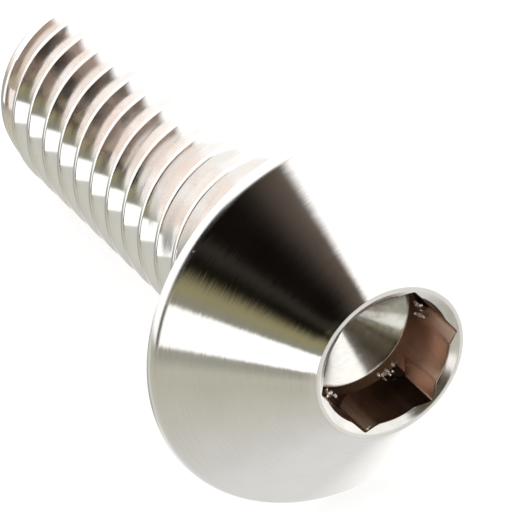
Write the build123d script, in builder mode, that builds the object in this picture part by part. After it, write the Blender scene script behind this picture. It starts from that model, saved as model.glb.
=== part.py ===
from build123d import *
from math import asin, atan2, ceil, cos, degrees, floor, hypot, radians, sin, tan
import os

# Button head screw with a hexagon socket, lying on a floor. It is one turned and threaded piece, in
# millimetres. +Z is up. The origin is the middle of the flat seat under the head. The head points
# along +X and the shank along -X: the screw rests on the rim of its head and on the last full turn
# of its thread, so its axis rises a little towards the head.

# --- driving dimensions -------------------------------------------------------------------------------

# head: a truncated cone on a flat seat
rim_radius = 4.75
rim_round = 0.25  # from the rim up to the cone
seat_edge = 0.04  # chamfer between the rim and the seat
head_height = 2.35
land_width = 0.095  # flat ring around the mouth of the socket

# socket: drilled, countersunk, and broached to a hexagon for a 3 mm key. Depths are from the land.
across_flats = 3.0
corner_depth = 1.16  # the corners of the hexagon are full down to here
broach_depth = 1.47  # and have run out into the drilled hole here
pilot_depth = 1.825  # straight wall of the drilled hole
pilot_clearance = 0.065  # drilled past the flats, so each flat has a shallow groove along its middle
mouth_clearance = 0.023  # around the corners of the hexagon
drill_angle = 118
countersink_angle = 120
hexagon_turn = 33.6  # one corner, from straight up, counterclockwise as seen on the head

# thread: M5 x 0.8, right hand
length = 12.35  # seat to tip
thread_radius = 2.415
pitch = 0.8
crest_flat = 0.11
root_flat = 0.153
groove_angle = 60
crest_phase = 0.158  # straight up from the axis, the crests lie this far below whole pitches
point_length = 1.23  # the crests grow lower over this last part of the length
point_radius = 2.25  # outside of the thread where the chamfer of the tip begins
tip_chamfer = 0.15

# neck: the plain stretch between the seat and the thread
neck_length = 1.0
neck_flare = 0.25  # conical, into the seat
run_out_turns = 0.9  # the groove climbs out of the neck over this part of a turn

# --- sizes that follow from them ------------------------------------------------------------------------

corner_radius = across_flats / 2 / cos(radians(30))
pilot_radius = across_flats / 2 + pilot_clearance
mouth_radius = corner_radius + mouth_clearance
land_radius = mouth_radius + land_width

half_angle = radians(groove_angle / 2)
thread_depth = (pitch - crest_flat - root_flat) / 2 / tan(half_angle)
root_radius = thread_radius - thread_depth
neck_radius = thread_radius - thread_depth / 2  # a thread is rolled on a blank of about this size
point_start = length - point_length
point_end = length - tip_chamfer
point_slope = (thread_radius - point_radius) / (point_end - point_start)

# --- resting pose -------------------------------------------------------------------------------------

# The crests on the floor side are half a turn from those straight above, so half a pitch further on.
floor_phase = crest_phase + pitch / 2
whole_turns = floor((point_end - crest_flat / 2 - floor_phase) / pitch)


def lean(turn):
    """Lean of the screw when the far edge of one crest touches the floor."""
    edge = floor_phase + turn * pitch + crest_flat / 2
    widening = point_slope * tan(half_angle)
    edge += max(0, edge - point_start) * widening / (1 - widening)
    edge_radius = thread_radius - max(0, edge - point_start) * point_slope
    return atan2(rim_radius - edge_radius, edge + seat_edge)


# The screw leans over until the first of its crests touches.
tilt = min(lean(turn) for turn in range(whole_turns + 1))

# seat: local Z runs up the axis through the head, local X is straight up as seen along the axis.
seat = Plane(origin=(0, 0, 0), x_dir=(-sin(tilt), 0, cos(tilt)), z_dir=(cos(tilt), 0, sin(tilt)))
# section: through the axis, local X is the radius and local Y the height above the seat.
section = Plane(origin=seat.origin, x_dir=seat.x_dir, z_dir=-seat.y_dir)
screw_axis = Axis(seat.origin, seat.z_dir)

# --- broach: a hexagon whose corners run out on a steep cone --------------------------------------------

broach_floor = head_height - broach_depth

with BuildPart() as broach:
    with BuildSketch(seat.offset(broach_floor)):
        RegularPolygon(corner_radius, 6, rotation=hexagon_turn)
    extrude(amount=broach_depth)
    with BuildSketch(section):
        with BuildLine():
            Polyline(
                (0, broach_floor),
                (pilot_radius, broach_floor),
                (corner_radius, head_height - corner_depth),
                (corner_radius, head_height),
                (0, head_height),
                close=True,
            )
        make_face()
    revolve(axis=screw_axis, mode=Mode.INTERSECT)

# --- groove of the thread: a V with a flat root, swept along a helix -------------------------------------

# The groove opens a little past the crests, so that it leaves them cleanly.
overcut = 0.04
half_mouth = (pitch - crest_flat) / 2 + overcut * tan(half_angle)


def groove(height, turns, climb=0.0):
    """A stretch of the groove that starts straight up from the axis and may climb out, in degrees."""
    start = seat.offset(height)
    with BuildLine(start) as path:
        Helix(
            pitch=pitch / cos(radians(climb)),
            height=turns * pitch,
            radius=thread_radius,
            direction=seat.z_dir,
            cone_angle=climb,
        )
    with BuildPart() as cut:
        with BuildSketch(Plane(origin=start.origin, x_dir=section.x_dir, z_dir=section.z_dir)):
            with BuildLine():
                Polyline(
                    (thread_radius + overcut, half_mouth),
                    (root_radius, root_flat / 2),
                    (root_radius, -root_flat / 2),
                    (thread_radius + overcut, -half_mouth),
                    close=True,
                )
            make_face()
        sweep(path=path.line, is_frenet=True)
    return cut.part


# Straight up from the axis the groove lies halfway between crests. The first place below the neck is
# where the run-out starts. From there stretches of whole turns lead down to beyond the tip.
turns_to_run_out = ceil((neck_length - crest_phase) / pitch - 0.5) + 0.5
run_out = -crest_phase - turns_to_run_out * pitch
run_out_climb = degrees(atan2(neck_radius + overcut - root_radius, run_out_turns * pitch))
stretch_turns = 2
stretches = ceil((length + run_out + pitch) / (stretch_turns * pitch))

# --- screw: turned in one, drilled, countersunk, broached and threaded -----------------------------------

# The cone of the head leaves the rounding of the rim as a tangent and ends at the land.
round_centre = (rim_radius - rim_round, 0)
land_across = round_centre[0] - land_radius
cone_angle = atan2(head_height, land_across) - asin(rim_round / hypot(land_across, head_height))
rim_start = degrees(asin(seat_edge / rim_round))
rim_end = 90 - degrees(cone_angle)

neck_shoulder = thread_radius - neck_radius
pilot_floor = head_height - pilot_depth
drill_point = pilot_radius / tan(radians(drill_angle / 2))
countersink_depth = (mouth_radius - pilot_radius) / tan(radians(countersink_angle / 2))

with BuildPart() as screw:
    with BuildSketch(section):
        with BuildLine():
            rim = CenterArc(round_centre, rim_round, rim_start, rim_end - rim_start)
            outline = Polyline(
                rim @ 1,
                (land_radius, head_height),
                (0, head_height),
                (0, -length),
                (point_radius - tip_chamfer, -length),
                (point_radius, -point_end),
                (thread_radius, -point_start),
                (thread_radius, -neck_length - neck_shoulder),
                (neck_radius, -neck_length),
                (neck_radius, -neck_flare),
                (neck_radius + neck_flare, 0),
                ((rim @ 0).X - seat_edge, 0),
                rim @ 0,
            )
        make_face()
    revolve(axis=screw_axis)

    with BuildSketch(section):
        with BuildLine():
            Polyline(
                (0, pilot_floor - drill_point),
                (pilot_radius, pilot_floor),
                (pilot_radius, head_height - countersink_depth),
                (mouth_radius, head_height),
                (0, head_height),
                close=True,
            )
        make_face()
    revolve(axis=screw_axis, mode=Mode.SUBTRACT)
    add(broach.part, mode=Mode.SUBTRACT)

    add(groove(run_out, run_out_turns, run_out_climb), mode=Mode.SUBTRACT)
    for stretch in range(1, stretches + 1):
        add(groove(run_out - stretch * stretch_turns * pitch, stretch_turns), mode=Mode.SUBTRACT)

os.makedirs("parts", exist_ok=True)
screw.part.label = "screw"
export_step(screw.part, "parts/screw.step")
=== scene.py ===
from math import asin, atan2, ceil, cos, floor, hypot, pi, radians, sin, tan

import bmesh
import bpy
import numpy as np
from mathutils import Matrix, Vector


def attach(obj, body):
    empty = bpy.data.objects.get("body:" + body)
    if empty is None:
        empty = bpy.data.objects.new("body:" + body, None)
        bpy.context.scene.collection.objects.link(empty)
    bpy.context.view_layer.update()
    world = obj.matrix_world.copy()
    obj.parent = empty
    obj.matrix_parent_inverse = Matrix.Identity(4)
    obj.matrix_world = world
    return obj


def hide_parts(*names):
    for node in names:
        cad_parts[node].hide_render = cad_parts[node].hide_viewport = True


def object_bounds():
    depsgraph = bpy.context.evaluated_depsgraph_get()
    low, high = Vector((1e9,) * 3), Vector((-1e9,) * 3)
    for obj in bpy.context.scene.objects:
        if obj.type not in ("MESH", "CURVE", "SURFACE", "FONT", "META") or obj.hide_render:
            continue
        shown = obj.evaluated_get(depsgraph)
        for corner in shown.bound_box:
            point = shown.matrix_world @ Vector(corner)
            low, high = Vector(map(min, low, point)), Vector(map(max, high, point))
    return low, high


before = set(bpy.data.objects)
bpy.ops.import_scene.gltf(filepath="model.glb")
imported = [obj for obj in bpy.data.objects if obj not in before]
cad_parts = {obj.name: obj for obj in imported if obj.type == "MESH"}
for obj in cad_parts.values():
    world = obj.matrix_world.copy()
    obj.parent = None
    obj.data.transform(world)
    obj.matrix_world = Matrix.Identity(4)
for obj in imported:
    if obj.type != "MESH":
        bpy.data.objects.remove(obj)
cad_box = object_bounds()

# Button head screw with a hexagon socket. Sizes are in millimetres here, the mesh is made in
# metres. In the screw's own frame Z runs up its axis through the head, X is straight up as seen
# along the axis, and the origin is the middle of the seat. Angles go counterclockwise as seen on
# the head.

MM = 0.001

# --- sizes, as in the part's source ---------------------------------------------------------------

# head
rim_radius = 4.75
seat_edge = 0.04
head_height = 2.35
land_width = 0.095

# socket
across_flats = 3.0
corner_depth = 1.16
broach_depth = 1.47
pilot_depth = 1.825
pilot_clearance = 0.065
mouth_clearance = 0.023
drill_angle = 118
countersink_angle = 120
hexagon_turn = 33.6

# thread
length = 12.35
thread_radius = 2.415
pitch = 0.8
crest_flat = 0.11
root_flat = 0.153
groove_angle = 60
crest_phase = 0.158
point_length = 1.23
point_radius = 2.25
tip_chamfer = 0.15

# neck
neck_length = 1.0
neck_flare = 0.25
run_out_turns = 0.9

corner_radius = across_flats / 2 / cos(radians(30))
pilot_radius = across_flats / 2 + pilot_clearance
mouth_radius = corner_radius + mouth_clearance
land_radius = mouth_radius + land_width
half_angle = radians(groove_angle / 2)
thread_depth = (pitch - crest_flat - root_flat) / 2 / tan(half_angle)
root_radius = thread_radius - thread_depth
neck_radius = thread_radius - thread_depth / 2
point_start = length - point_length
point_end = length - tip_chamfer
point_slope = (thread_radius - point_radius) / (point_end - point_start)

floor_phase = crest_phase + pitch / 2
whole_turns = floor((point_end - crest_flat / 2 - floor_phase) / pitch)


def lean(turn):
    """Lean of the screw when the far edge of one crest touches the floor."""
    edge = floor_phase + turn * pitch + crest_flat / 2
    widening = point_slope * tan(half_angle)
    edge += max(0, edge - point_start) * widening / (1 - widening)
    edge_radius = thread_radius - max(0, edge - point_start) * point_slope
    return atan2(rim_radius - edge_radius, edge + seat_edge)


tilt = min(lean(turn) for turn in range(whole_turns + 1))

# The directions of the screw's own X, Y and Z in the world.
screw_x = np.array((-sin(tilt), 0, cos(tilt)))
screw_y = np.array((0, -1, 0))
screw_z = np.array((cos(tilt), 0, sin(tilt)))
to_world = np.array((screw_x, screw_y, screw_z))

# --- detail that the solid leaves out -------------------------------------------------------------

root_round = root_flat / 2 / tan(radians(30))  # the root is an arc that the flanks touch
arc_side = root_round * cos(half_angle)  # the arc ends this far from the middle of the root
flank_hollow = 0.007  # the flanks are slightly hollow
crest_round = 0.045
run_out_overcut = 0.04  # the groove climbs this far past the neck
edge_round = 0.02  # between the cone and the land
mouth_edge = 0.012  # a bevel between the land and the countersink
mouth_drop = mouth_edge * 0.35
corner_round = 0.012  # in the corners of the hexagon
flat_edge = 0.02  # between the flats and the shallow grooves along their middle
neck_round = 0.12
full_round = 0.34  # the rim is a little fuller than in the solid,
rim_trim = 0.003  # and so much smaller that it stays inside the solid's box

# The steels of the screw in the order of its material slots, one with painted shade.
TURNED, BROACHED, ROLLED, COUNTERSUNK, DRILLED, SHADED_FLAT, FACED, RIM = range(8)

# --- mesh helpers ---------------------------------------------------------------------------------

points = []
faces = []


def add_points(radius, angle, height):
    """Adds points given in the screw's frame and returns their numbers."""
    first = len(points)
    for r, a, h in zip(*np.broadcast_arrays(radius, angle, height)):
        points.append((r * cos(a), r * sin(a), h))
    return np.arange(first, len(points))


def add_face(corners, slot):
    """Adds a face unless it has shrunk to a line."""
    kept = []
    for corner in corners:
        if corner not in kept:
            kept.append(int(corner))
    if len(kept) > 2:
        faces.append((kept, slot))


def join_rings(one, two, slot=TURNED):
    """Quads between two closed rings of the same size. The slot may differ by column."""
    slots = np.broadcast_to(slot, len(one))
    for k in range(len(one)):
        n = (k + 1) % len(one)
        add_face((one[k], one[n], two[n], two[k]), int(slots[k]))


def bridge_rings(one, one_angles, two, two_angles, slot=TURNED):
    """Triangles between two closed rings with different numbers of points."""
    i = j = 0
    while i < len(one) or j < len(two):
        next_one = one_angles[(i + 1) % len(one)] + (2 * pi if i + 1 >= len(one) else 0)
        next_two = two_angles[(j + 1) % len(two)] + (2 * pi if j + 1 >= len(two) else 0)
        if j >= len(two) or (i < len(one) and next_one <= next_two):
            add_face((one[i % len(one)], one[(i + 1) % len(one)], two[j % len(two)]), slot)
            i += 1
        else:
            add_face((one[i % len(one)], two[(j + 1) % len(two)], two[j % len(two)]), slot)
            j += 1


def extend_ring(ring, radius, angles, height, slot=TURNED):
    """Joins a ring to a new one and returns the new ring."""
    new = add_points(radius, angles, np.broadcast_to(height, len(angles)))
    join_rings(ring, new, slot)
    return new


def close_ring(ring, height, slot):
    """A fan from a ring to a point on the axis."""
    middle = add_points([0.0], [0.0], [height])[0]
    for k in range(len(ring)):
        add_face((ring[k], ring[(k + 1) % len(ring)], middle), slot)


def between(values, low, high):
    return (values > low) & (values < high)


def soft_min(a, b, reach):
    """The smaller of two values, rounded where they are within reach of each other."""
    h = np.clip(0.5 + 0.5 * (b - a) / reach, 0, 1)
    return b + (a - b) * h - reach * h * (1 - h)


def rounded(corners, radius, steps):
    """Rounds the inner corners of an open outline of (radius, height) points."""
    longest = 0.45  # share of a side that a rounding may take up
    line = [corners[0]]
    for before, here, after in zip(corners, corners[1:], corners[2:]):
        back = np.subtract(before, here)
        ahead = np.subtract(after, here)
        back_length, ahead_length = hypot(*back), hypot(*ahead)
        cosine = np.clip(np.dot(back, ahead) / back_length / ahead_length, -1, 1)
        turn = pi - np.arccos(cosine)
        reach = min(radius * tan(turn / 2), back_length * longest, ahead_length * longest)
        start = np.array(here) + back / back_length * reach
        end = np.array(here) + ahead / ahead_length * reach
        for t in np.linspace(0, 1, steps + 1):
            spot = (1 - t) ** 2 * start + 2 * t * (1 - t) * np.array(here) + t ** 2 * end
            line.append(tuple(spot))
    return line + [corners[-1]]


# --- thread ---------------------------------------------------------------------------------------

turns_to_run_out = ceil((neck_length - crest_phase) / pitch - 0.5) + 0.5
run_out = -crest_phase - turns_to_run_out * pitch
run_out_lift = neck_radius + run_out_overcut - root_radius
highest_climb = 1.3  # the groove climbs on, out of the neck, up to this part of its run-out


def groove_radius(across):
    """Radius of the groove at a distance from its middle: an arc at the root, then the flanks."""
    across = np.abs(across)
    arc_centre = root_radius + root_round
    arc = arc_centre - np.sqrt(np.maximum(root_round ** 2 - across ** 2, 0))
    flank = root_radius + (across - root_flat / 2) / tan(half_angle)
    along_flank = (across - arc_side) / (pitch / 2 - crest_flat / 2 - arc_side)
    flank -= flank_hollow * np.sin(pi * np.clip(along_flank, 0, 1))
    return np.where(across < arc_side, arc, flank)


def shank_radius(angle, height):
    """Radius of the threaded shank, with the run-out at the neck and the chamfer at the tip."""
    neck_shoulder = thread_radius - neck_radius
    blank = np.interp(
        height,
        (-length, -point_end, -point_start, -neck_length - neck_shoulder, -neck_length),
        (point_radius - tip_chamfer, point_radius, thread_radius, thread_radius, neck_radius),
    )
    turn = angle / (2 * pi)
    nearest = np.round((height - run_out) / pitch - turn)
    middle = run_out + (nearest + turn) * pitch
    climbed = (middle - run_out) / pitch / run_out_turns
    groove = groove_radius(height - middle) + np.clip(climbed, 0, highest_climb) * run_out_lift
    return soft_min(blank, groove, crest_round)


# Rows of the grid follow the helix. Over half a turn they lead from the middle of a crest to the
# middle of the root: close together over the rounded edge of the crest, then flank and root.
columns = 192
crest_edge_rows = (-0.028, -0.012, 0.004, 0.022)  # from the edge of the crest
flank_rows = 3
root_rows = 4
half_rows = [0.0] + [crest_flat / 2 + x for x in crest_edge_rows]
half_rows += list(np.linspace(half_rows[-1], pitch / 2 - arc_side, flank_rows + 1)[1:])
half_rows += list(np.linspace(half_rows[-1], pitch / 2, root_rows + 1)[1:])
turn_rows = half_rows + [pitch - x for x in half_rows[-2:0:-1]]
rows_per_turn = len(turn_rows)

shank_top = -0.6  # the grid ends on the plain neck
spare_turns = 2  # beyond either end
turns_down = ceil((length - crest_phase) / pitch) + spare_turns
below_crest = np.array([k * pitch + x for k in range(-spare_turns, turns_down) for x in turn_rows])
shank_angles = np.arange(columns) * 2 * pi / columns

grid = np.zeros((columns + 1, len(below_crest)), dtype=int)
for column in range(columns):
    angle = shank_angles[column]
    heights = np.clip(-crest_phase + column / columns * pitch - below_crest, -length, shank_top)
    numbers = add_points(shank_radius(angle, heights), angle, heights)
    numbers[heights >= shank_top] = numbers[0]
    numbers[heights <= -length] = numbers[-1]
    grid[column] = numbers
# After a full turn the rows meet those of the next turn.
grid[columns, rows_per_turn:] = grid[0, :-rows_per_turn]
grid[columns, :rows_per_turn] = grid[0, 0]

for column in range(columns):
    for row in range(len(below_crest) - 1):
        here, beside = grid[column], grid[column + 1]
        add_face((here[row], beside[row], beside[row + 1], here[row + 1]), ROLLED)

# --- tip: a flat end ------------------------------------------------------------------------------

tip_radii = shank_radius(shank_angles, np.full(columns, -length))
ring = grid[:columns, -1]
for part in (0.985, 0.9, 0.7, 0.5, 0.3, 0.1):
    ring = extend_ring(ring, tip_radii * part, shank_angles, -length, ROLLED)
close_ring(ring, -length, ROLLED)

# --- neck and the inner part of the seat ----------------------------------------------------------

inner_seat = 3.0
neck_corners = [
    (neck_radius, shank_top),
    (neck_radius, -neck_flare),
    (neck_radius + neck_flare, 0.0),
    (inner_seat, 0.0),
]
ring = grid[:columns, 0]
for r, h in rounded(neck_corners, neck_round, 4)[1:]:
    ring = extend_ring(ring, r, shank_angles, h)

# --- head: seat, rim, cone and the outer part of the land -----------------------------------------

head_columns = 256
head_angles = np.arange(head_columns) * 2 * pi / head_columns

round_centre = rim_radius - rim_trim - full_round
land_across = round_centre - land_radius
cone_angle = atan2(head_height, land_across)
cone_angle -= asin(full_round / hypot(land_across, head_height))
rim_start = asin(seat_edge / full_round)
rim_end = pi / 2 - cone_angle
rim_line = [
    (round_centre + full_round * cos(a), full_round * sin(a))
    for a in np.linspace(rim_start, rim_end, 11)
]

chamfer_foot = rim_line[0][0] - seat_edge
seat_line = [(r, 0.0) for r in (3.3, 3.8, 4.3, chamfer_foot - 0.015)]
seat_line += [(chamfer_foot + 0.008, 0.006)]  # takes the edge off the foot of the chamfer

cone_foot, cone_top = rim_line[-1], (land_radius, head_height)
cone_line = [
    tuple(foot + (top - foot) * t for foot, top in zip(cone_foot, cone_top))
    for t in (0.02, 0.15, 0.3, 0.45, 0.6, 0.75, 0.9)
]
land_line = rounded([cone_line[-1], cone_top, (land_radius - 0.035, head_height)], edge_round, 3)

faced_radius = land_radius + 0.004  # the land is faced up to here, with the edge around it
rim_top = cone_foot[1] + 0.001  # the steel of the rim ends just above its rounding
head_ring = None
for r, h in seat_line + rim_line + cone_line + land_line[1:]:
    if head_ring is None:
        head_ring = add_points(r, head_angles, np.full(head_columns, h))
        bridge_rings(ring, shank_angles, head_ring, head_angles)
    else:
        slot = FACED if r < faced_radius else RIM if h < rim_top else TURNED
        head_ring = extend_ring(head_ring, r, head_angles, h, slot)

# --- socket: countersink, hexagon walls, run-out of the corners, drilled hole and its point -------

# Columns crowd together towards the corners of the hexagon.
columns_per_flat = 48
crowding = 1.5
flat_steps = np.linspace(-1, 1, columns_per_flat + 1)[:-1]
flat_angles = 30 * np.sign(flat_steps) * (1 - (1 - np.abs(flat_steps)) ** crowding)
socket_degrees = np.concatenate([hexagon_turn + 30 + 60 * k + flat_angles for k in range(6)])
socket_angles = np.sort(np.radians(socket_degrees % 360))
off_middle = (np.degrees(socket_angles) - hexagon_turn) % 60 - 30
socket_columns = len(socket_angles)

wall = across_flats / 2 / np.cos(np.radians(off_middle))
wall = -soft_min(-wall, np.full(socket_columns, -pilot_radius), flat_edge)
wall = soft_min(wall, np.full(socket_columns, corner_radius - corner_round), corner_round)

broach_floor = head_height - broach_depth
corner_floor = head_height - corner_depth
pilot_floor = head_height - pilot_depth
run_out_slope = (corner_floor - broach_floor) / (corner_radius - pilot_radius)
wall_top = head_height - (mouth_radius - wall) / tan(radians(countersink_angle / 2))
wall_foot = broach_floor + (wall - pilot_radius) * run_out_slope

# Painted shade: a dark steel on one flat, as far as the corner beyond the next run-out.
next_degrees = np.degrees(np.roll(socket_angles, -1)) % 360
column_middle = (np.degrees(socket_angles) + next_degrees) / 2
from_corner = (column_middle - hexagon_turn) % 360
wall_slot = np.where(between(from_corner, 120, 180), SHADED_FLAT, BROACHED)
run_out_shaded = between(from_corner, 120, 182) | between(from_corner, 239, 256)
run_out_slot = np.where(run_out_shaded, SHADED_FLAT, BROACHED)

# land and mouth
ring = add_points(mouth_radius + 0.03, socket_angles, np.full(socket_columns, head_height))
bridge_rings(head_ring, head_angles, ring, socket_angles, FACED)
sink_start = head_height - mouth_drop
for r, h in ((mouth_radius + mouth_edge, head_height), (mouth_radius, sink_start)):
    ring = extend_ring(ring, r, socket_angles, h, FACED)

# countersink
for t in (0.25, 0.5, 0.75, 0.93):
    r = mouth_radius + (wall - mouth_radius) * t
    h = sink_start + (wall_top - sink_start) * t
    ring = extend_ring(ring, r, socket_angles, h, COUNTERSUNK)

# walls
for t in np.concatenate([[0.012, 0.03], np.linspace(0, 1, 9)[1:-1], [0.985]]):
    ring = extend_ring(ring, wall, socket_angles, wall_top + (wall_foot - wall_top) * t, wall_slot)

# run-out of the corners
run_out_steps = 8
step_drop = 0.002  # keeps the rings apart in the middle of the flats, which have no run-out
for k in range(run_out_steps + 1):
    h = wall_foot + (broach_floor - wall_foot) * k / run_out_steps - step_drop * k
    r = pilot_radius + np.maximum(h - broach_floor, 0) / run_out_slope
    ring = extend_ring(ring, r, socket_angles, h, run_out_slot)

# drilled wall and point
for h in (broach_floor - 0.1, broach_floor - 0.2, pilot_floor + 0.06, pilot_floor + 0.012):
    ring = extend_ring(ring, pilot_radius, socket_angles, h, BROACHED)
drill_point = pilot_radius / tan(radians(drill_angle / 2))
for t in (0.008, 0.04, 0.12, 0.2, 0.3, 0.4, 0.5, 0.6, 0.7, 0.8, 0.9, 0.96):
    r, h = pilot_radius * (1 - t), pilot_floor - drill_point * t
    ring = extend_ring(ring, r, socket_angles, h, DRILLED)
close_ring(ring, pilot_floor - drill_point, DRILLED)

# --- mesh of the screw ----------------------------------------------------------------------------

sharp_angle = 33
mesh = bpy.data.meshes.new("screw_body")
in_world = np.array(points) @ to_world * MM
mesh.from_pydata([tuple(p) for p in in_world], [], [f for f, slot in faces])
mesh.polygons.foreach_set("material_index", [slot for f, slot in faces])
mesh.validate()
screw = bpy.data.objects.new("screw_body", mesh)
bpy.context.collection.objects.link(screw)

edit = bmesh.new()
edit.from_mesh(mesh)
loose = [v for v in edit.verts if not v.link_faces]
bmesh.ops.delete(edit, geom=loose, context="VERTS")
bmesh.ops.recalc_face_normals(edit, faces=edit.faces)
edit.to_mesh(mesh)
edit.free()
mesh.polygons.foreach_set("use_smooth", [True] * len(mesh.polygons))
mesh.set_sharp_from_angle(angle=radians(sharp_angle))

# --- torn chips: the broach leaves a few where the corners of the hexagon run out -----------------

luck = np.random.RandomState(7)
chip_corners = 9
chip_thickness = 0.009
chip_mesh = bpy.data.meshes.new("broach_chips")
chip_edit = bmesh.new()


def add_chip(angle, radius, height, size, facing=-0.7):
    """A small ragged plate, bent and crumpled, that faces the axis or away from it."""
    outward = np.array((cos(angle), sin(angle), 0.0))
    around = np.array((-sin(angle), cos(angle), 0.0))
    normal = np.array((0, 0, 0.8)) + outward * facing + luck.uniform(-0.6, 0.6, 3)
    normal /= np.linalg.norm(normal)
    side = np.cross(normal, around)
    side /= np.linalg.norm(side)
    ahead = np.cross(side, normal)
    middle = outward * radius + np.array((0, 0, height))
    stretch = luck.uniform(0.5, 0.9)
    bend = luck.uniform(-0.5, 0.5)
    reach = luck.uniform(0.55, 1.0, chip_corners)
    crumple = luck.uniform(-0.18, 0.18, (3, chip_corners))
    layers = []
    for thickness in (0.0, chip_thickness):
        rings = []
        for row, part in enumerate((0.5, 1.0)):
            ring = []
            for k in range(chip_corners):
                a = 2 * pi * k / chip_corners
                u, v = reach[k] * part * cos(a), reach[k] * part * sin(a) * stretch
                lift = bend * u * u + crumple[row, k] * part
                offset = (side * u + ahead * v + normal * lift) * size
                ring.append(middle + offset + normal * thickness)
            rings.append(ring)
        rings.append([middle + normal * (thickness + crumple[2, 0] * size)])
        layers.append(
            [[chip_edit.verts.new(spot @ to_world * MM) for spot in ring] for ring in rings]
        )
    for inner, outer, (centre,) in layers:
        for k in range(chip_corners):
            n = (k + 1) % chip_corners
            chip_edit.faces.new((centre, inner[k], inner[n]))
            chip_edit.faces.new((inner[k], outer[k], outer[n], inner[n]))
    lower, upper = layers[0][1], layers[1][1]
    for k in range(chip_corners):
        n = (k + 1) % chip_corners
        chip_edit.faces.new((lower[k], upper[k], upper[n], lower[n]))


chips_per_corner = 12
for corner in range(6):
    # At two of the corners they lie further round and higher.
    shift, rise = (6, 0.12) if corner % 4 == 0 else (0, 0)
    for chip in range(chips_per_corner):
        angle = radians(hexagon_turn + 60 * corner + shift + luck.uniform(-15, 1))
        height = rise + luck.uniform(0.80, 1.02)
        radius = pilot_radius + luck.uniform(-0.06, 0.01)
        add_chip(angle, radius, height, luck.uniform(0.03, 0.11))
# two in the mouth of the socket
add_chip(radians(157), 1.70, 2.262, 0.06)
add_chip(radians(159), 1.66, 2.225, 0.045)
# a nick on the rim
add_chip(radians(46.5), 4.60, 0.262, 0.06, facing=0.9)
bmesh.ops.recalc_face_normals(chip_edit, faces=chip_edit.faces)
chip_edit.to_mesh(chip_mesh)
chip_edit.free()
chips = bpy.data.objects.new("broach_chips", chip_mesh)
bpy.context.collection.objects.link(chips)

# --- material helpers -----------------------------------------------------------------------------


class Nodes:
    """Short names for making nodes in one tree."""

    def __init__(self, tree):
        self.tree = tree
        tree.nodes.clear()

    def feed(self, socket, value):
        """Links a socket to another or sets its own value."""
        if isinstance(value, bpy.types.NodeSocket):
            self.tree.links.new(value, socket)
        else:
            socket.default_value = value

    def make(self, kind, **inputs):
        node = self.tree.nodes.new(kind)
        for name, value in inputs.items():
            self.feed(node.inputs[name.replace("_", " ")], value)
        return node

    def math(self, operation, *values):
        node = self.tree.nodes.new("ShaderNodeMath")
        node.operation = operation
        for socket, value in zip(node.inputs, values):
            self.feed(socket, value)
        return node.outputs[0]

    def times(self, one, *others):
        for other in others:
            one = self.math("MULTIPLY", one, other)
        return one

    def weighed(self, one, weight, two, other_weight):
        return self.math("ADD", self.times(one, weight), self.times(two, other_weight))

    def distance(self, x, y):
        return self.math("SQRT", self.math("ADD", self.times(x, x), self.times(y, y)))

    def vector(self, operation, *values):
        node = self.tree.nodes.new("ShaderNodeVectorMath")
        node.operation = operation
        for socket, value in zip(node.inputs, values):
            self.feed(socket, value)
        return node.outputs["Value" if operation == "DOT_PRODUCT" else "Vector"]

    def scaled(self, vector, factor):
        scaled = self.vector("SCALE", vector)
        self.feed(scaled.node.inputs["Scale"], factor)
        return scaled

    def combine(self, parts, scales=(1, 1, 1)):
        """A vector of three parts, each with its own scale."""
        node = self.tree.nodes.new("ShaderNodeCombineXYZ")
        for socket, part, scale in zip(node.inputs, parts, scales):
            self.feed(socket, part if scale == 1 else self.times(part, scale))
        return node.outputs[0]

    def step(self, value, low, high, start=0.0, end=1.0, smooth=True):
        """Goes from start to end as the value goes from low to high."""
        node = self.tree.nodes.new("ShaderNodeMapRange")
        node.interpolation_type = "SMOOTHSTEP" if smooth else "LINEAR"
        names = ("Value", "From Min", "From Max", "To Min", "To Max")
        for name, setting in zip(names, (value, low, high, start, end)):
            self.feed(node.inputs[name], setting)
        return node.outputs[0]

    def mix(self, amount, one, two):
        node = self.tree.nodes.new("ShaderNodeMix")
        node.data_type = "RGBA"
        for socket, value in zip((node.inputs[0], *node.inputs[6:8]), (amount, one, two)):
            self.feed(socket, value)
        return node.outputs[2]

    def noise(self, vector, scale=1.0, detail=2.0, roughness=0.5):
        names = {"Vector": vector, "Scale": scale, "Detail": detail, "Roughness": roughness}
        return self.make("ShaderNodeTexNoise", **names).outputs[0]


def opaque(red, green, blue):
    return (red, green, blue, 1.0)


# --- steels ---------------------------------------------------------------------------------------

mark_height = 0.0012
fine_share = 0.35  # of the fine marks in the relief, next to the broad ones
near_axis = 0.05  # smallest distance from the axis that a direction is worked out with
quarter_turn = 0.25

# How densely scores lie in x, y and z, and rings around the axis and along it.
fine_scores, broad_scores = (22, 22, 1.5), (4, 4, 1.2)
fine_rings, broad_rings = (5, 5, 34), (3, 3, 6)
coarse_rings, streak_rings = (6, 6, 20), (8, 8, 26)


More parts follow.
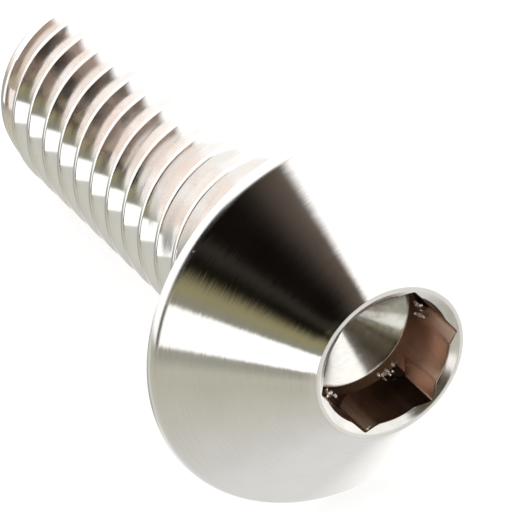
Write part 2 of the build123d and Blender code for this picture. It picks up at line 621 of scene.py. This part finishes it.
def steel(
    name,
    colour,
    roughness,
    anisotropy,
    marks_along_axis=False,
    marks=1.0,
    patchy=0.93,
    tint=None,
    rings=0.0,
    streaks=0.0,
    film=None,
):
    """Bare steel with tool marks: rings round the axis, or scores along it.

    marks scales their height. Patches are darker by the factor patchy. tint(n, base, x, y, z) may
    colour the base by place. rings adds some coarser rings, streaks tips the surface to the sides
    in fine streaks, and film is the colour of the dull film on the thread.
    """
    material = bpy.data.materials.new(name)
    material.use_nodes = True
    n = Nodes(material.node_tree)
    place = n.scaled(n.make("ShaderNodeTexCoord").outputs["Object"], 1 / MM)
    x, y, z = [n.vector("DOT_PRODUCT", place, tuple(d)) for d in (screw_x, screw_y, screw_z)]
    radius = n.distance(x, y)
    cosine, sine = [n.math("DIVIDE", v, n.math("MAXIMUM", radius, near_axis)) for v in (x, y)]
    round_axis = (cosine, sine, n.math("SUBTRACT", radius, z))
    if marks_along_axis:
        fine_at = n.combine((x, y, z), fine_scores)
        broad_at = n.combine((x, y, z), broad_scores)
    else:
        fine_at = n.combine(round_axis, fine_rings)
        broad_at = n.combine(round_axis, broad_rings)
    fine = n.noise(fine_at, roughness=0.6)
    broad = n.noise(broad_at, detail=1.0)
    patches = n.noise(place, 0.9)

    relief = n.math("ADD", n.times(fine, fine_share), broad)
    if rings:
        coarser = n.noise(n.combine(round_axis, coarse_rings), roughness=0.6)
        relief = n.math("ADD", relief, n.times(coarser, rings))
    bump = n.make("ShaderNodeBump", Height=relief, Strength=1.0, Distance=mark_height * MM * marks)
    normal = bump.outputs[0]
    around = n.vector("CROSS_PRODUCT", tuple(screw_z), place)
    if streaks:
        streak = n.noise(n.combine(round_axis, streak_rings), detail=3.0, roughness=0.7)
        amount = n.times(n.math("SUBTRACT", streak, 0.5), streaks)
        sideways = n.scaled(n.vector("NORMALIZE", around), amount)
        normal = n.vector("NORMALIZE", n.vector("ADD", normal, sideways))

    darker = opaque(*[c * patchy for c in colour])
    shade = n.step(n.weighed(fine, 0.5, patches, 0.5), 0.3, 0.7)
    base = n.mix(shade, darker, opaque(*colour))
    if tint:
        base = tint(n, base, x, y, z)
    wear = n.weighed(patches, 0.6, fine, 0.4)
    rough = n.step(wear, 0.3, 0.7, roughness * 0.85, roughness * 1.2)
    shader = n.make(
        "ShaderNodeBsdfPrincipled",
        Base_Color=base,
        Roughness=rough,
        Normal=normal,
        Tangent=around,
        Metallic=1.0,
        Anisotropic=anisotropy,
        Anisotropic_Rotation=quarter_turn,
    )
    surface = shader.outputs[0]
    if film:
        filmed = n.make(
            "ShaderNodeBsdfPrincipled", Base_Color=opaque(*film), Roughness=0.6, Metallic=1.0
        )
        both = n.make("ShaderNodeMixShader")
        share = film_share(n, place, radius, sine, z)
        for socket, value in zip(both.inputs, (share, surface, filmed.outputs[0])):
            n.feed(socket, value)
        surface = both.outputs[0]
    n.make("ShaderNodeOutputMaterial", Surface=surface)
    return material


def film_share(n, place, radius, sine, z):
    """The film lies in patches to both sides of the front, and evenly in the last groove.

    The sine goes from 0 straight up to 1 at the front. The end face is left bare.
    """
    clouds = n.noise(n.vector("ADD", place, (3.0, 1.0, 7.0)), 1.3, 3.0)
    share = n.times(n.step(clouds, 0.36, 0.62, 0.06, 0.34), n.step(sine, 0.90, 0.84))
    last_groove = n.times(n.step(z, -11.35, -11.7), n.step(radius, 2.29, 2.22))
    share = n.math("MAXIMUM", share, n.times(last_groove, 0.45))
    on_front, off_end = n.step(sine, 0.2, 0.36), n.step(z, -12.34, -12.3)
    return n.times(share, n.times(on_front, off_end))


def toward(n, x, y, degrees):
    """Distance from the axis, measured in one direction."""
    return n.weighed(x, cos(radians(degrees)), y, sin(radians(degrees)))


def painted_shade_deep_in_socket(n, base, x, y, z):
    """Painted shade: darker further down the socket."""
    return n.mix(n.step(z, 0.75, 1.75), opaque(0.27, 0.18, 0.135), base)


def painted_dark_band(n, base, x, y, z):
    """Painted shade: a cloudy dark band on one side of the drilled point, paler near the wall."""
    radius = n.distance(x, y)
    cosine = n.math("DIVIDE", toward(n, x, y, 254), n.math("MAXIMUM", radius, near_axis))
    lighter_outward = n.step(radius, 0.8, 1.4)
    # the painted shade is darkest near the point and lighter towards the wall
    film = n.mix(lighter_outward, opaque(0.28, 0.265, 0.225), opaque(0.50, 0.50, 0.45))
    clouds = n.step(n.noise(n.combine((x, y, z)), 3.0), 0.35, 0.6, 0.7, 1.0)
    return n.mix(n.times(n.step(cosine, 0.945, 0.985), clouds), base, film)


def painted_shade_on_flat(n, base, x, y, z):
    """Painted shade on one flat, darkest towards one of its corners."""
    to_corner = toward(n, x, y, hexagon_turn + 240)
    return n.mix(n.step(to_corner, -0.6, 0.35), base, opaque(0.04, 0.028, 0.02))


turned = (0.82, 0.80, 0.775)
scores = dict(marks_along_axis=True, marks=0.3, patchy=0.85)
steels = {
    TURNED: steel("turned_steel", turned, 0.09, 0.8, rings=0.8, streaks=0.024),
    # the broached walls get painted shade, darker further down the socket
    BROACHED: steel(
        "broached_steel", (0.60, 0.435, 0.35), 0.22, 0.0, tint=painted_shade_deep_in_socket, **scores
    ),
    ROLLED: steel("rolled_steel", (0.88, 0.86, 0.84), 0.10, 0.8, film=(0.93, 0.74, 0.62)),
    COUNTERSUNK: steel(
        "countersunk_steel", (0.72, 0.70, 0.665), 0.18, 0.7, marks=1.5, patchy=0.8
    ),
    # the drilled point gets a painted dark band on one side
    DRILLED: steel(
        "drilled_steel", (0.86, 0.84, 0.79), 0.20, 0.92, marks=1.2, patchy=0.82, tint=painted_dark_band
    ),
    # a dark steel that paints shade on one flat of the socket
    SHADED_FLAT: steel("shaded_flat_steel", (0.24, 0.16, 0.12), 0.22, 0.0, tint=painted_shade_on_flat, **scores),
    FACED: steel("faced_steel", (0.58, 0.555, 0.52), 0.28, 0.5, marks=1.5, patchy=0.85),
    RIM: steel("rim_steel", turned, 0.2, 0.3),
}
for slot in sorted(steels):
    mesh.materials.append(steels[slot])
chip_mesh.materials.append(steel("torn_steel", (0.88, 0.85, 0.82), 0.2, 0.0, marks=0.5))

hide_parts("screw")
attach(screw, "root")
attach(chips, "root")

# --- camera ---------------------------------------------------------------------------------------

camera_azimuth = radians(59.894)
camera_elevation = radians(44.211)
camera_roll = radians(0.362)
camera_lens = 296.7
camera_right, camera_up, camera_away = -1.6717, 1.1812, 94.5766  # from the middle of the seat

heading = Vector((-sin(camera_azimuth), cos(camera_azimuth), 0))
right = Vector((cos(camera_azimuth), sin(camera_azimuth), 0))
toward_camera = -heading * cos(camera_elevation) + Vector((0, 0, sin(camera_elevation)))
up = toward_camera.cross(right)
right, up = (
    right * cos(camera_roll) + up * sin(camera_roll),
    up * cos(camera_roll) - right * sin(camera_roll),
)

camera_data = bpy.data.cameras.new("camera")
camera_data.sensor_width = 36
camera_data.lens = camera_lens
camera_data.clip_start = 0.001
camera_data.clip_end = 10
camera = bpy.data.objects.new("camera", camera_data)
bpy.context.collection.objects.link(camera)
standpoint = (camera_right * right + camera_up * up + camera_away * toward_camera) * MM
facing = Matrix((right, up, toward_camera)).transposed().to_4x4()
camera.matrix_world = Matrix.Translation(standpoint) @ facing
bpy.context.scene.camera = camera

# --- floor ----------------------------------------------------------------------------------------

floor_height = cad_box[0][2]
floor_reach = 0.6
floor_glow = 0.67
floor_mesh = bpy.data.meshes.new("floor")
corners = [(-1, -1), (1, -1), (1, 1), (-1, 1)]
floor_points = [(x * floor_reach, y * floor_reach, floor_height) for x, y in corners]
floor_mesh.from_pydata(floor_points, [], [(0, 1, 2, 3)])
floor_object = bpy.data.objects.new("floor", floor_mesh)
bpy.context.collection.objects.link(floor_object)
floor_object.visible_glossy = False  # the metal mirrors the ground of the studio instead

white = opaque(1.0, 1.0, 1.0)
paper = bpy.data.materials.new("paper")
paper.use_nodes = True
n = Nodes(paper.node_tree)
diffuse = n.make("ShaderNodeBsdfDiffuse", Color=opaque(0.5, 0.5, 0.5))
ray = n.make("ShaderNodeLightPath").outputs
through = n.math("MAXIMUM", ray["Is Glossy Ray"], ray["Is Transmission Ray"])
seen = n.math("MAXIMUM", ray["Is Camera Ray"], through)
glow = n.make("ShaderNodeEmission", Color=white, Strength=n.times(seen, floor_glow))
both = n.make("ShaderNodeAddShader")
n.feed(both.inputs[0], diffuse.outputs[0])
n.feed(both.inputs[1], glow.outputs[0])
n.make("ShaderNodeOutputMaterial", Surface=both.outputs[0])
floor_mesh.materials.append(paper)

# --- studio light ---------------------------------------------------------------------------------

world = bpy.data.worlds.new("studio")
bpy.context.scene.world = world
world.use_nodes = True
n = Nodes(world.node_tree)

# Azimuth is measured from the camera's side, positive to its right, and elevation from the level
# of the studio, which leans with the camera. Both are in degrees.
studio_level = radians(43.76)
front = toward_camera * cos(studio_level) - up * sin(studio_level)
top = toward_camera * sin(studio_level) + up * cos(studio_level)
way = n.make("ShaderNodeTexCoord").outputs["Generated"]
to_right, to_front, to_top = [n.vector("DOT_PRODUCT", way, tuple(d)) for d in (right, front, top)]
azimuth = n.math("DEGREES", n.math("ARCTAN2", to_right, to_front))
rise = n.math("MAXIMUM", n.math("MINIMUM", to_top, 1.0), -1.0)
elevation = n.math("DEGREES", n.math("ARCSINE", rise))


def along(low, high):
    """Goes from 0 to 1 as the azimuth goes from low to high."""
    return n.step(azimuth, low, high)


def above(low, high):
    """Goes from 0 to 1 as the elevation goes from low to high."""
    return n.step(elevation, low, high)


bright = opaque(1.4, 1.4, 1.4)

# ground: paler beneath the screw, greyish green far away, bright to the right and behind
beneath, far_away = opaque(0.83, 0.835, 0.835), opaque(0.56, 0.555, 0.465)
far_left, far_right = opaque(0.37, 0.37, 0.31), opaque(0.68, 0.68, 0.62)
ground = n.mix(n.step(elevation, -80, -25, smooth=False), beneath, far_away)
ground = n.mix(n.times(above(-19, -12), along(-6, -12)), ground, far_left)
ground = n.mix(n.times(along(-12, -4), above(-55, -35)), ground, far_right)
aside = n.math("MAXIMUM", along(20, 60), along(-60, -100))
ground = n.mix(n.times(aside, above(-78, -54)), ground, bright)

# front: the dark room behind the camera, browner to the right, with an olive band low down
black, brown = opaque(0.005, 0.0038, 0.0025), opaque(0.13, 0.10, 0.08)
olive, pale_olive = opaque(0.33, 0.30, 0.165), opaque(0.28, 0.285, 0.22)
ochre, umber = opaque(0.22, 0.19, 0.12), opaque(0.09, 0.075, 0.055)
dark_grey = opaque(0.032, 0.027, 0.023)
room = n.mix(along(10, 42), black, brown)
band = n.mix(above(12, 8), olive, pale_olive)
room = n.mix(n.times(above(20.5, 13), along(6, 0)), room, band)
room = n.mix(n.times(above(24, 21), above(16, 18), along(2, 6)), room, ochre)
room = n.mix(n.times(above(17, 14), along(0, 6)), room, umber)
room = n.mix(n.times(above(22, 27.5), above(30.2, 28.8)), room, dark_grey)

# a bright strip between the ground and the room: its top is lower to the right, its left end dark
strip_foot = -9.6
blur = 0.6
strip_top = n.math("SUBTRACT", 3.5, n.times(azimuth, 0.18))
above_strip = n.math("SUBTRACT", elevation, strip_top)
in_front = n.times(along(44.5, 36), along(-40, -37))
room_mask = n.times(in_front, n.step(above_strip, -blur, 2 * blur), above(61, 54))
colour = n.mix(above(strip_foot + blur, strip_foot - blur), bright, ground)
colour = n.mix(room_mask, colour, room)
over_foot = above(strip_foot - blur, strip_foot + blur)
under_top = n.step(above_strip, 2 * blur, -blur)
left_end = n.times(along(-18, -21), along(-40, -37))
dark_end = n.times(left_end, n.times(over_foot, under_top))
colour = n.mix(dark_end, colour, opaque(0.05, 0.035, 0.025))

# a grey wall behind to the left, which the camera's side of the screw hardly mirrors
wall_azimuth = -124
off_wall = n.math("ABSOLUTE", n.math("SUBTRACT", azimuth, wall_azimuth))
wall_behind = n.times(n.step(off_wall, 52, 30), above(1, -19), above(-70, -45))
colour = n.mix(wall_behind, colour, opaque(0.42, 0.42, 0.40))

ray = n.make("ShaderNodeLightPath").outputs
colour = n.mix(ray["Is Camera Ray"], colour, white)
back = n.make("ShaderNodeBackground", Color=colour, Strength=1.0)
n.make("ShaderNodeOutputWorld", Surface=back.outputs[0])

bpy.context.scene.view_settings.view_transform = "Standard"
